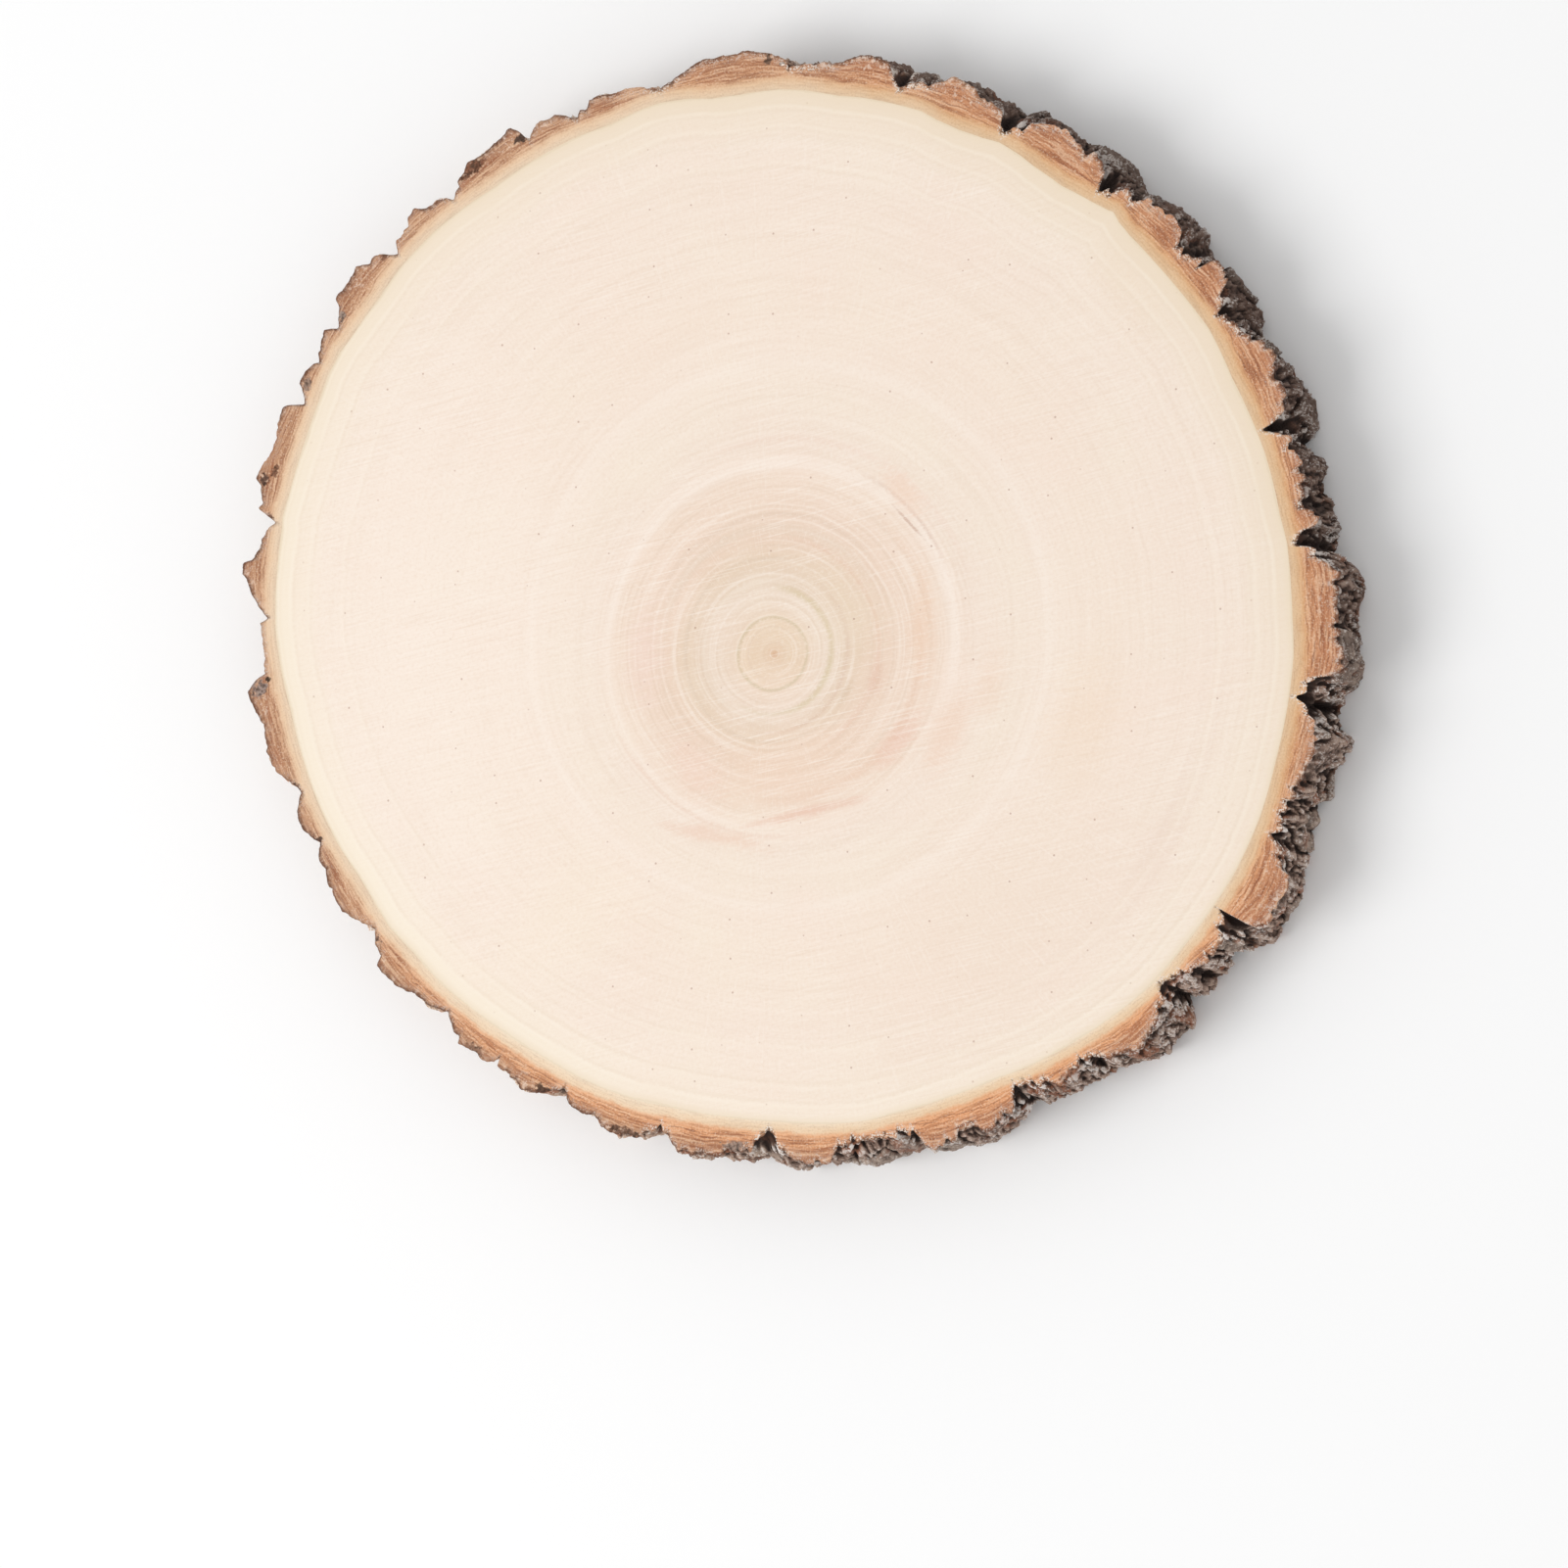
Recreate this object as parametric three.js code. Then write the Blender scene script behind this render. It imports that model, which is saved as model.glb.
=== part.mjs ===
// A round slice sawn across a small log, with its bark left on.
// Millimetres, +Z up. The slice lies on one sawn face, and the origin is the middle of that face.
import * as THREE from 'three';

// Driving dimensions
const thickness = 25; // from sawn face to sawn face
const crumbleDepth = 4; // the outer bark is broken away to this depth below the upper sawn edge
const lowerCrumble = 3; // and to this height above the lower one
const lowerInset = 1.2; // how far the lower sawn edge is worn back
const ridgeBulge = 0.8; // the bark's side stands out this much half way down
const wander = 1.1; // degrees that a ridge on the -X side strays sideways across the thickness
const wandersInTurn = 5; // how many times, going round, the ridges lean one way and then the other

// The bark's upper sawn edge, point by point: [degrees from +X, distance from the log's middle].
// Each notch is a fissure between two bark ridges.
const upperEdge = [
  [0, 151], [1.5, 151], [2.4, 148], [3.1, 147], [4, 144.5], [5, 141.8], [6, 143], [6.5, 145.5],
  [7.5, 146.5], [8.8, 144.5], [9.5, 145], [12, 144.5], [14.5, 143.5], [15.5, 143.5], [16.3, 142],
  [17, 140], [17.4, 138.5], [18, 142], [18.7, 145.5], [20, 146], [22, 144.8], [23, 145],
  [24, 146.5], [25, 147], [26, 146.8], [26.6, 144], [28, 142.5], [29, 141.8], [30, 140.5],
  [30.7, 139.3], [31.4, 141], [32, 143], [32.8, 143.5], [33.5, 146], [34.2, 147], [35.2, 146.6],
  [36, 145.5], [36.5, 143], [37.3, 141.5], [38.6, 140], [39.2, 141.5], [40, 143.5], [41, 144.3],
  [43, 144.7], [44, 144.8], [44.7, 143.8], [45.4, 143.8], [46, 141.9], [46.8, 140.8],
  [47.5, 141.2], [48.2, 139.8], [49, 139.7], [49.5, 138.1], [50, 137.4], [50.5, 138.3],
  [51, 142], [52, 142.8], [53.2, 144.4], [54, 142.7], [55, 143.5], [56, 143.7], [57.3, 144.8],
  [58.3, 144.1], [59.2, 143], [60.2, 141.9], [60.7, 141], [61.1, 139.3], [61.8, 139.1],
  [62.5, 138.2], [63, 137.7], [63.5, 138.5], [64.2, 140.8], [65.5, 142.1], [66.3, 142.6],
  [67, 141.9], [68, 144.1], [69.5, 144.8], [70.5, 145.3], [71, 144.8], [71.6, 143.4],
  [72.6, 142.4], [73, 140.8], [73.6, 141.9], [74.5, 141.2], [75.3, 140], [76.2, 139.2],
  [76.9, 141], [77.6, 143.7], [78, 145], [79, 145.7], [80, 146.2], [81.2, 146.1], [82.6, 144.6],
  [84.1, 143.3], [85, 143.7], [86.3, 142.9], [88, 143.2], [89, 142.4], [89.3, 144.5],
  [90, 145.6], [91, 146.5], [93, 147.8], [94, 147.9], [96.5, 147.2], [98.5, 147.4],
  [99.8, 146.5], [101.6, 144.6], [102.3, 143.9], [104, 143.2], [105.5, 145], [107.5, 146],
  [108.4, 145.6], [110.2, 147.1], [111.5, 147], [111.9, 145.5], [112.2, 145], [112.8, 145.8],
  [113.5, 144.4], [114.8, 147], [115.6, 148.2], [116.4, 148], [117.8, 148.9], [119, 146.9],
  [119.3, 145.6], [119.7, 149.5], [120.4, 151.6], [122.6, 150.7], [123.7, 150.1], [125.2, 150.5],
  [126, 151.2], [126.8, 150.3], [128.1, 149.2], [128.3, 147.5], [129, 147.3], [129.8, 146],
  [130.2, 147.8], [131, 149.3], [132.2, 149.3], [132.8, 150.3], [133.3, 152.1], [134.5, 152],
  [135.2, 150.1], [135.9, 150.3], [136.5, 149.6], [137.1, 150], [137.7, 148], [138, 147.2],
  [138.6, 148.9], [139.2, 151], [139.8, 152.3], [140.8, 152.2], [141.8, 154.5], [142.7, 154],
  [145.2, 154.4], [145.8, 154.3], [146.1, 152.5], [147.5, 150.3], [148.2, 149.6], [148.6, 151.5],
  [149, 152.8], [149.8, 152.7], [151.2, 151.2], [152.1, 149.8], [152.4, 150.9], [153.6, 152.3],
  [155, 152.4], [155.5, 151], [156.2, 149.6], [156.8, 149.3], [157.4, 153.5], [158, 154.6],
  [160, 154], [161, 153.5], [162.4, 153.5], [164.6, 155.5], [165.6, 155.9], [166.1, 154],
  [166.9, 153.5], [167.7, 152.4], [168.4, 153.4], [169.2, 149], [169.6, 147.9], [170.1, 149.7],
  [172, 151.3], [172.4, 150.9], [173.7, 153.4], [174.1, 155.5], [175.2, 155.7], [176, 153.5],
  [177.4, 151.9], [178.7, 150.1], [179.3, 148.8], [179.7, 147.6], [180.1, 149.7], [182, 149.2],
  [183, 148.7], [185.5, 148.7], [185.9, 151.5], [187, 154.4], [187.8, 154], [189.8, 152],
  [190.8, 151], [193.5, 151.4], [195.5, 150.6], [196.8, 148.3], [198, 145.6], [198.6, 145.1],
  [199.6, 146.3], [200.6, 147.8], [201.5, 148.1], [202.6, 147.8], [203.9, 146.2], [204.6, 144.8],
  [205.6, 146.3], [206.5, 146.8], [207.5, 146], [209, 147.4], [212.4, 147.8], [213, 146.7],
  [214.4, 145], [215.2, 143.6], [216, 142.2], [216.4, 143.6], [217.7, 145.3], [218.7, 145.5],
  [219.1, 148.1], [221.2, 147.5], [223.2, 146.8], [224, 144.9], [226.2, 144.3], [227.3, 142.9],
  [228.6, 141.8], [229, 143], [230.4, 144.7], [231.3, 144.6], [231.6, 146.3], [233.3, 145.3],
  [234.8, 145.4], [236, 144.3], [236.2, 141.8], [236.5, 144.4], [237.7, 144.4], [238.4, 145.1],
  [240.4, 146], [241.4, 145.3], [242.7, 144], [244, 141.9], [244.5, 140.6], [245.1, 141.1],
  [245.6, 143.8], [248, 144], [248.8, 143.2], [249.8, 145.4], [251.3, 146.4], [252.3, 146.3],
  [254, 144.7], [255.6, 143.2], [256.1, 140.8], [256.6, 142.5], [257.5, 143.3], [258.6, 146.3],
  [261, 145.9], [263.3, 145.6], [264.5, 143.3], [265.3, 143], [266, 144.2], [266.8, 143],
  [267.4, 141], [268.8, 139.8], [269.4, 140.5], [270, 142], [271.3, 145], [272.5, 146.3],
  [275.5, 146.8], [276.4, 144], [277, 145], [278, 143], [279, 142.3], [281.6, 142.5],
  [283.5, 143], [285, 144], [286, 148], [286.5, 149.5], [288, 148.5], [289.6, 147.6],
  [290.5, 147.5], [292, 149], [293, 149.3], [293.8, 148.5], [294.4, 146], [295.5, 147.3],
  [296.2, 145], [297, 142.2], [298, 143.5], [300.5, 145], [301, 147.2], [303, 147.8],
  [304.5, 145.5], [306.6, 147], [307.1, 149], [308.3, 150.5], [309.8, 152], [310.5, 152.3],
  [312, 150.3], [313.3, 149.4], [314.6, 148], [315, 146.5], [316.1, 145.3], [317.6, 147],
  [319.5, 148], [321, 150], [323.3, 149.3], [324.7, 148.5], [325.2, 146.5], [325.7, 145.3],
  [326.1, 150.5], [326.5, 156], [327, 156.8], [328, 156.7], [330, 155.7], [331, 156],
  [332, 155.3], [332.4, 153], [333.2, 152.6], [333.8, 151], [334.3, 147.8], [334.8, 146.5],
  [335.2, 148], [337, 148.7], [337.5, 147.5], [338, 148.5], [340, 148.5], [342, 149],
  [344, 149.8], [345.8, 149.3], [347.3, 148], [348.3, 145], [349, 143.6], [349.9, 145.3],
  [350.9, 148], [351.4, 150.5], [352.2, 152.2], [353.4, 152.7], [355.2, 151.3], [357, 150.6],
  [359, 150.7],
];

// The same for the bark's side near the underside, where other ridges stand out.
const lowerEdge = [
  [0, 151.8], [0.6, 152.3], [1.4, 151.2], [3, 150.5], [3.8, 145.5], [4.2, 144], [5.4, 145.8],
  [5.8, 145], [6.7, 146.5], [8.6, 145.6], [9.6, 146.3], [10.7, 144.4], [12, 144.6], [12.8, 146],
  [13.7, 145.8], [15.3, 142.4], [16.2, 142.6], [17.3, 147], [18.3, 147], [20, 147.8], [22, 146.7],
  [24, 146.3], [25.8, 144.3], [27.2, 142.8], [28.7, 143.4], [30, 145.5], [31, 146], [33, 145.4],
  [35.6, 145], [37.5, 144], [38.5, 144.2], [40, 145.9], [42.2, 146.3], [43.4, 145.9],
  [44.2, 144.6], [46, 143.7], [47.7, 142.1], [49.2, 144], [51, 145.3], [54, 145.1], [57, 143.5],
  [58.5, 144.9], [61.5, 145.9], [62.4, 145.6], [63.6, 143.4], [65, 144], [66.2, 143.2],
  [67, 145.2], [70.5, 145.3], [72, 143], [73.2, 143], [74, 145], [80, 146], [84, 144],
  [88, 143.5], [93, 147], [99, 147], [103, 144], [107, 145.5], [111, 146.5], [113, 145],
  [117, 148], [119, 147], [121, 150.5], [126, 150.5], [129, 147.5], [134, 151.5], [138, 148],
  [141, 153], [145, 154], [148, 150.5], [150, 152], [152, 150.5], [154.5, 152.5], [156.5, 150],
  [158.5, 154], [162, 153.5], [165, 155.3], [168, 153], [169.6, 149], [172, 151], [175, 155],
  [178, 151], [179.7, 148.5], [182, 149.5], [185, 149], [187, 153.5], [191, 151.5],
  [195, 150.5], [198.5, 146], [201.5, 148], [204.7, 145.5], [207, 146.5], [212, 147.5],
  [216, 143.5], [219, 147], [223, 146.5], [228.6, 142.5], [232, 145.5], [236, 144.5],
  [240, 145.5], [244.5, 142], [248, 144], [252, 146], [256, 142.5], [259, 146], [262, 145],
  [264.5, 146.5], [266.3, 144.5], [270.2, 147.8], [273, 145], [276.5, 147], [279.4, 147],
  [281, 146], [283, 145.5], [285, 143.5], [286.7, 148.5], [290, 149], [292.8, 149.8],
  [293.3, 148.3], [294.4, 147.6], [295.7, 144.2], [297.6, 146], [298.3, 147.3], [299.5, 147.5],
  [300.2, 148.7], [301.5, 148.9], [305.6, 148.2], [305.9, 150.2], [308.8, 152], [310.3, 153.3],
  [311.3, 153.8], [312.3, 152], [313.8, 153], [314.6, 150.5], [315.8, 147], [316.7, 150],
  [317.5, 151.1], [319.2, 149.2], [320, 150], [321.8, 149.2], [323, 152.5], [324.1, 154.6],
  [324.6, 154], [325.2, 156], [327.5, 154.8], [329, 155.3], [331, 155.3], [332.2, 152.8],
  [333.5, 153], [335.5, 151.4], [336.2, 150.5], [337.6, 150.7], [338.9, 149.2], [339.7, 152],
  [342, 150.8], [343, 151.2], [345.2, 153.7], [345.9, 153.1], [346.4, 148.9], [347.9, 149.1],
  [348.4, 147.8], [349.2, 149.9], [350.2, 149.7], [352.2, 152.6], [353.6, 152.8], [355.8, 151.7],
  [357.3, 149.9], [357.8, 150.7], [359.4, 151.2],
];

// A column of points stands at every angle of the upper edge, and at those of the lower edge that
// are more than this many degrees from one.
const sharedColumn = 0.3;
const upperAngles = upperEdge.map(([degrees]) => degrees);
const lowerAngles = lowerEdge
  .map(([degrees]) => degrees)
  .filter((degrees) => upperAngles.every((other) => Math.abs(degrees - other) > sharedColumn));
const columnAngles = [...upperAngles, ...lowerAngles].sort((a, b) => a - b);

const fullTurn = 360;

// Distance at any angle, straight between the two listed points on either side of it.
function reachAt(edge, degrees) {
  const angle = THREE.MathUtils.euclideanModulo(degrees, fullTurn);
  const next = edge.findIndex(([listed]) => listed > angle);
  const [startAngle, startReach] = edge[(next < 0 ? edge.length : next) - 1];
  const [endAngle, endReach] = next < 0 ? [fullTurn, edge[0][1]] : edge[next];
  return THREE.MathUtils.mapLinear(angle, startAngle, endAngle, startReach, endReach);
}

// Levels from the underside up. share is 0 on the lower edge's line and 1 on the upper one's.
const levels = [
  { height: 0, share: 0, inset: lowerInset },
  { height: lowerCrumble, share: 0, inset: 0 },
  { height: thickness / 2, share: 0.15, inset: -ridgeBulge },
  { height: thickness - crumbleDepth, share: 0.35, inset: -ridgeBulge / 2 },
  { height: thickness - crumbleDepth / 2, share: 0.75, inset: 0 },
  { height: thickness, share: 1, inset: 0 },
];

// Distance from the log's middle to the bark at one level and angle. On the +X side the two edges
// already say how the ridges lean; on the -X side they also stray.
function reachAtLevel({ height, share, inset }, degrees) {
  const angle = THREE.MathUtils.degToRad(degrees);
  const lean = Math.sin(angle * wandersInTurn) * Math.max(0, -Math.cos(angle));
  const stray = wander * lean * (1 - height / thickness);
  const lower = reachAt(lowerEdge, degrees + stray);
  const upper = reachAt(upperEdge, degrees);
  return THREE.MathUtils.lerp(lower, upper, share) - inset;
}

// A lathe gives the closed skin: a column of points for each listed angle, from the middle of the
// underside, out and up the bark, to the middle of the upper face. Each column is then moved out to
// the bark's own line.
function sliceGeometry() {
  const firstReach = upperEdge[0][1];
  const profile = [
    new THREE.Vector2(0, 0),
    ...levels.map(({ height }) => new THREE.Vector2(firstReach, height)),
    new THREE.Vector2(0, thickness),
  ];
  const geometry = new THREE.LatheGeometry(profile, columnAngles.length);
  const points = geometry.getAttribute('position');
  for (let column = 0; column <= columnAngles.length; column += 1) {
    const degrees = columnAngles[column % columnAngles.length];
    const angle = THREE.MathUtils.degToRad(degrees);
    profile.forEach(({ y: height }, row) => {
      const onAxis = row === 0 || row === profile.length - 1;
      const reach = onAxis ? 0 : reachAtLevel(levels[row - 1], degrees);
      const index = column * profile.length + row;
      points.setXYZ(index, reach * Math.cos(angle), reach * Math.sin(angle), height);
    });
  }
  return geometry;
}

// The log's middle isn't the middle of its box, so the skin is moved to put the origin there.
function centred(geometry) {
  geometry.computeBoundingBox();
  const middle = geometry.boundingBox.getCenter(new THREE.Vector3());
  return geometry.translate(-middle.x, -middle.y, 0);
}

const woodAndBark = new THREE.MeshStandardMaterial({
  color: new THREE.Color(0.93, 0.84, 0.74),
  roughness: 0.8,
  metalness: 0,
});

const slice = new THREE.Mesh(centred(sliceGeometry()), woodAndBark);
slice.name = 'wood_slice';

const woodSlice = new THREE.Group();
woodSlice.add(slice);

export default woodSlice;
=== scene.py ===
import bpy
import numpy as np
from mathutils import Matrix, Vector


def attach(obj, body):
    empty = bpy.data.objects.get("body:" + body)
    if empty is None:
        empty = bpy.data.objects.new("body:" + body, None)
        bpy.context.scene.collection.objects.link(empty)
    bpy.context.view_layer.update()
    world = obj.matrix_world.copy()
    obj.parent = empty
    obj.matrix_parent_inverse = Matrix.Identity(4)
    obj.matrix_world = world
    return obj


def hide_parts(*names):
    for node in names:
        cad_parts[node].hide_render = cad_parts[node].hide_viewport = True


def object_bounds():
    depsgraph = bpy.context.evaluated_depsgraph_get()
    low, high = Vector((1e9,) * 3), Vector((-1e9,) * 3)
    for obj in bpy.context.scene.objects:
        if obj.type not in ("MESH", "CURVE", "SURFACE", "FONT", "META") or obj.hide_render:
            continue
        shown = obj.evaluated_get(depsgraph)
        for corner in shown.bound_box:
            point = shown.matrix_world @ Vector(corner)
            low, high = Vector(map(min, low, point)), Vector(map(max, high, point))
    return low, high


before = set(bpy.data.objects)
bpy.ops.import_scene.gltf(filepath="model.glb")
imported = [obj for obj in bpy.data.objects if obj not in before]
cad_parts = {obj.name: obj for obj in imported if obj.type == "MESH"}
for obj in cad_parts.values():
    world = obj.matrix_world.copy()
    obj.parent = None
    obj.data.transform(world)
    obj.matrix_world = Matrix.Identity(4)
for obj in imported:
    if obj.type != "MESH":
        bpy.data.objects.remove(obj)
cadLow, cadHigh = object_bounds()

# A slice of a small log, lying on one sawn face. Its shape is worked out in millimetres.
mm = 0.001
fullTurn = 2 * np.pi
nodeName = "wood_slice"


# The slice's rough shape, out of the frame

def readFrame():
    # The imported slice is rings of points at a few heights, and a point in the middle of each face.
    # Each ring is read as distance against angle, seen from the upper middle point.
    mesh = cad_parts[nodeName].data
    flat = np.empty(len(mesh.vertices) * 3, np.float32)
    mesh.vertices.foreach_get("co", flat)
    points = np.unique((flat.reshape(-1, 3) / mm).round(3), axis=0)
    top = points[points[:, 2] > points[:, 2].max() - 0.01]
    middle = top[np.hypot(top[:, 0], top[:, 1]).argmin(), :2]
    rings = []
    for height in np.unique(points[:, 2].round(1)):
        ring = points[np.abs(points[:, 2] - height) < 0.05, :2] - middle
        ring = ring[np.hypot(ring[:, 0], ring[:, 1]) > 50]
        angle = np.arctan2(ring[:, 1], ring[:, 0]) % fullTurn
        order = angle.argsort()
        rings.append((height, angle[order], np.hypot(ring[:, 0], ring[:, 1])[order]))
    return middle, rings


logMiddle, cadRings = readFrame()
thickness = cadRings[-1][0]
girth = fullTurn * cadRings[-1][2].mean()
print("frame read: middle", logMiddle, "thickness", thickness, "girth", round(girth))


def cadReach(turns, height):
    # Straight between a ring's points, and straight again from one ring to the next.
    reach = [np.interp(turns * fullTurn, angle, ring, period=fullTurn) for _, angle, ring in cadRings]
    heights = [level for level, _, _ in cadRings]
    found = reach[0]
    for low, high, below, above in zip(heights, heights[1:], reach, reach[1:]):
        share = np.clip((height - low) / (high - low), 0, 1)
        found = np.where(height > low, below + (above - below) * share, found)
    return found


# Noise that closes on itself round the slice. turns goes from 0 to 1 round the log.

def ease(low, high, value):
    # 0 below low, 1 above high, and 3t^2 - 2t^3 between them.
    t = np.clip((value - low) / (high - low), 0, 1)
    return t * t * (3 - 2 * t)


def noise(turns, v, around, seed):
    # A random slope stands at each corner of a grid. Each place blends its four corners' slopes.
    u = turns * around
    slopes = np.random.default_rng(seed).random((around, 64)) * fullTurn
    column, row = np.floor(u).astype(int), np.floor(v).astype(int)
    fu, fv = u - column, v - row
    easeU, easeV = (f * f * f * (f * (f * 6 - 15) + 10) for f in (fu, fv))

    def corner(right, up):
        slope = slopes[(column + right) % around, (row + up) % 64]
        return np.cos(slope) * (fu - right) + np.sin(slope) * (fv - up)

    low = corner(0, 0) + (corner(1, 0) - corner(0, 0)) * easeU
    high = corner(0, 1) + (corner(1, 1) - corner(0, 1)) * easeU
    return (low + (high - low) * easeV) * 1.5


def cells(turns, v, around, seed):
    # One point is thrown into each square of a grid. Gives how much nearer the nearest point is than
    # the next, that point's own number from 0 to 1, and how far up from it the place is.
    u = turns * around
    points = np.random.default_rng(seed).random((around, 64, 3))
    column, row = np.floor(u).astype(int), np.floor(v).astype(int)
    first, second = np.full(u.shape, 9.0), np.full(u.shape, 9.0)
    tone, rise = np.zeros(u.shape), np.zeros(u.shape)
    for right in (-1, 0, 1):
        for up in (-1, 0, 1):
            point = points[(column + right) % around, (row + up) % 64]
            toV = row + up + point[..., 1] - v
            away = np.hypot(column + right + point[..., 0] - u, toV)
            nearer = away < first
            second = np.where(nearer, first, np.minimum(second, away))
            first = np.where(nearer, away, first)
            tone = np.where(nearer, point[..., 2], tone)
            rise = np.where(nearer, -toV, rise)
    return second - first, tone, rise


def blurRound(values, columns, rows):
    # The average over a window that wraps sideways and stops at the first and last rows.
    total = sum(np.roll(values, step, axis=-1) for step in range(-columns, columns + 1))
    values = total / (2 * columns + 1)
    padded = np.pad(values, ((rows, rows), (0, 0)), mode="edge")
    return sum(padded[step:step + len(values)] for step in range(2 * rows + 1)) / (2 * rows + 1)


# The wood under the bark, and its growth rings

# The wood's edge: [degrees from +X, mm from the log's middle]
woodEdge = np.array([
    [0, 138], [5, 137.5], [8, 136.5], [15, 135.9], [20, 135], [24, 134.4], [30, 134.9], [33, 134.3],
    [36, 133.8], [40, 133.4], [44, 133.3], [46, 133.8], [47.3, 134.8], [48, 134.2], [50, 133.2],
    [54, 131.8], [58, 132.2], [60, 132.9], [63, 133.5], [65, 132.8], [68, 132.5], [71, 133.2],
    [73, 134.3], [80, 134.9], [83, 134.8], [87, 136], [90, 136.5], [95, 136.2], [98, 136.5],
    [101, 138], [104, 139], [106, 139], [110, 138.4], [115, 139.6], [120, 140.2], [125, 140.5],
    [128, 141.5], [133, 143], [139, 143.9], [143, 143.6], [148, 144.5], [150, 145.3], [153, 145.5],
    [155, 145], [160, 144.7], [166, 145], [168.8, 145.6], [170, 145.2], [176, 145], [181, 144.8],
    [186, 143.4], [190, 142.2], [195, 141.6], [200, 141], [206, 139.8], [210, 138.5], [212, 138.3],
    [217, 138.6], [221, 137.5], [226, 137.4], [231, 136.4], [240, 135.6], [246, 135.8], [253, 135.6],
    [256, 135], [263, 134.8], [270, 135.3], [276, 136.6], [280, 137.1], [283, 136.8], [290, 137],
    [296, 137.7], [300, 139], [306, 140.3], [312, 141.6], [315, 142.2], [320, 142], [330, 142.4],
    [336, 141.9], [342, 140.7], [350, 139.9], [353, 139.6], [357, 138.5],
])
pith = np.array([-1.33, -12.83])  # mm from the log's middle
# The tree leaned as it grew, so its rings aren't round the same point: [ring's radius, drift x, drift y]
drift = np.array([[0, 0, 0], [10, -0.6, 0], [23, -1.6, 1.3], [48, 1.4, 2], [73, 3.6, 5.1], [140, -1.7, 13.4]])
lastRing = 138.5  # mm, the ring that the wood's edge is counted as
bendsFrom = 0.45  # share of the way out at which rings start to take the edge's waves


def woodReach(turns):
    return np.interp(turns * 360, woodEdge[:, 0], woodEdge[:, 1], period=360)


def ringRadius(x, y):
    # A ring of radius r is centred at pith + drift(r), so r is found by repeating
    # r = distance to that centre.
    r = np.hypot(x - pith[0], y - pith[1])
    for _ in range(12):
        driftX, driftY = np.interp(r, drift[:, 0], drift[:, 1]), np.interp(r, drift[:, 0], drift[:, 2])
        r = np.hypot(x - pith[0] - driftX, y - pith[1] - driftY)
    return r


def ringAt(x, y):
    # The ring's radius, plus a share of what would make the wood's edge one single ring. The share
    # grows from 0 well inside to 1 at the edge.
    turns = np.arctan2(y, x) / fullTurn % 1
    edge = woodReach(turns)
    atEdge = ringRadius(edge * np.cos(turns * fullTurn), edge * np.sin(turns * fullTurn))
    return ringRadius(x, y) + (lastRing - atEdge) * ease(bendsFrom, 1, np.hypot(x, y) / edge)


# The bark's side

# Deep fissures: [degrees at the upper edge, at the lower edge, mm deep, mm wide]
fissures = [
    [5, 4.2, 2.4, 1.6], [8.8, 10.7, 1.2, 1], [17.3, 15.8, 2.6, 1.6], [30.7, 27.2, 2.6, 1.8],
    [38.6, 37.5, 2, 1.3], [50, 47.7, 2.8, 1.6], [54, 57, 1.6, 1.2], [62.8, 63.7, 2.6, 1.4],
    [73, 72.4, 1.4, 1], [76.2, 75.2, 2.2, 1.4], [89, 88, 1.6, 1.2], [104, 103, 1.6, 1.6],
    [113.5, 113, 1.6, 1], [119.2, 119, 2, 1], [129.8, 129, 2, 1.2], [137.8, 138, 2.2, 1.4],
    [148, 148, 2, 1.4], [152, 152, 1, 1], [156.6, 156.5, 2.4, 1.2], [169.6, 169.6, 2.6, 1.3],
    [179.7, 180.3, 2.4, 1.2], [185.4, 184.4, 1.2, 1.2], [198.6, 198.1, 2.6, 1.5], [204.6, 205, 1.6, 1],
    [216, 216.4, 2.2, 1.3], [228.6, 228.2, 1.8, 1.1], [236.2, 236, 2.2, 0.9], [244.5, 244, 2.2, 1.3],
    [256.1, 256.6, 2.2, 1.3], [268.8, 266.3, 2, 1.6], [279, 273, 1.4, 1.5], [284, 285, 1.6, 1.5],
    [297, 295.7, 2.6, 1.5], [305, 305.6, 1, 1.5], [316, 315.8, 2.2, 1.4], [325.7, 321.8, 2.8, 1.6],
    [334.8, 338.9, 2.4, 1.3], [349, 348, 2.6, 1.8],
]

side = dict(
    ridgeWide=7, ridgeTall=24, ridgeHigh=1.8,  # mm, the long ridges between the cracks
    strandWide=2, strandTall=15, strandHigh=1.2,  # mm, the strands that the ridges are made of
    fibreWide=1, fibreTall=4.5, fibreHigh=0.75,  # mm, the strands' frayed surface
    flakeWide=3, flakeTall=13, flakeStep=1.3, flakeTilt=1, flakeGap=0.45,  # mm, sharp-edged flakes
    chipWide=1.7, chipTall=2.2, chipHigh=0.42,  # mm, chips along the sawn edges and everywhere else
    plateWide=10.5, plateTall=17, plateShare=0.34, plateProud=0.9,  # mm, smooth plates, and how many there are
    pocketDeep=1.6, bend=1.5, lift=2.2,  # mm
    rimShare=0.3, rimHold=2.6,  # the relief is cut to this share at the sawn edges, over this many mm
    crumbWide=2, crumbTall=2.4, crumbHigh=1.5,  # mm, crumbs in the rough shape's cracks
    biteWide=2.6, biteTall=2.4, biteDeep=1.3,  # mm, bites out of the sawn edges
    tearWide=3.4, tearTall=3.2, tear=1.1,  # mm, how far the rough shape's cracks are torn sideways
    tornSide=335, tornLeast=0.22,  # degrees, where the bark is torn most, and the share elsewhere
    below=0.7,  # this share of the side lies below the rough shape
)


def tornShare(turns):
    # 1 round tornSide, easing to tornLeast on the far side, by the cosine of the angle between.
    toward = np.cos(turns * fullTurn - np.radians(side["tornSide"]))
    return side["tornLeast"] + (1 - side["tornLeast"]) * ease(-0.3, 0.45, toward)


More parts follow.
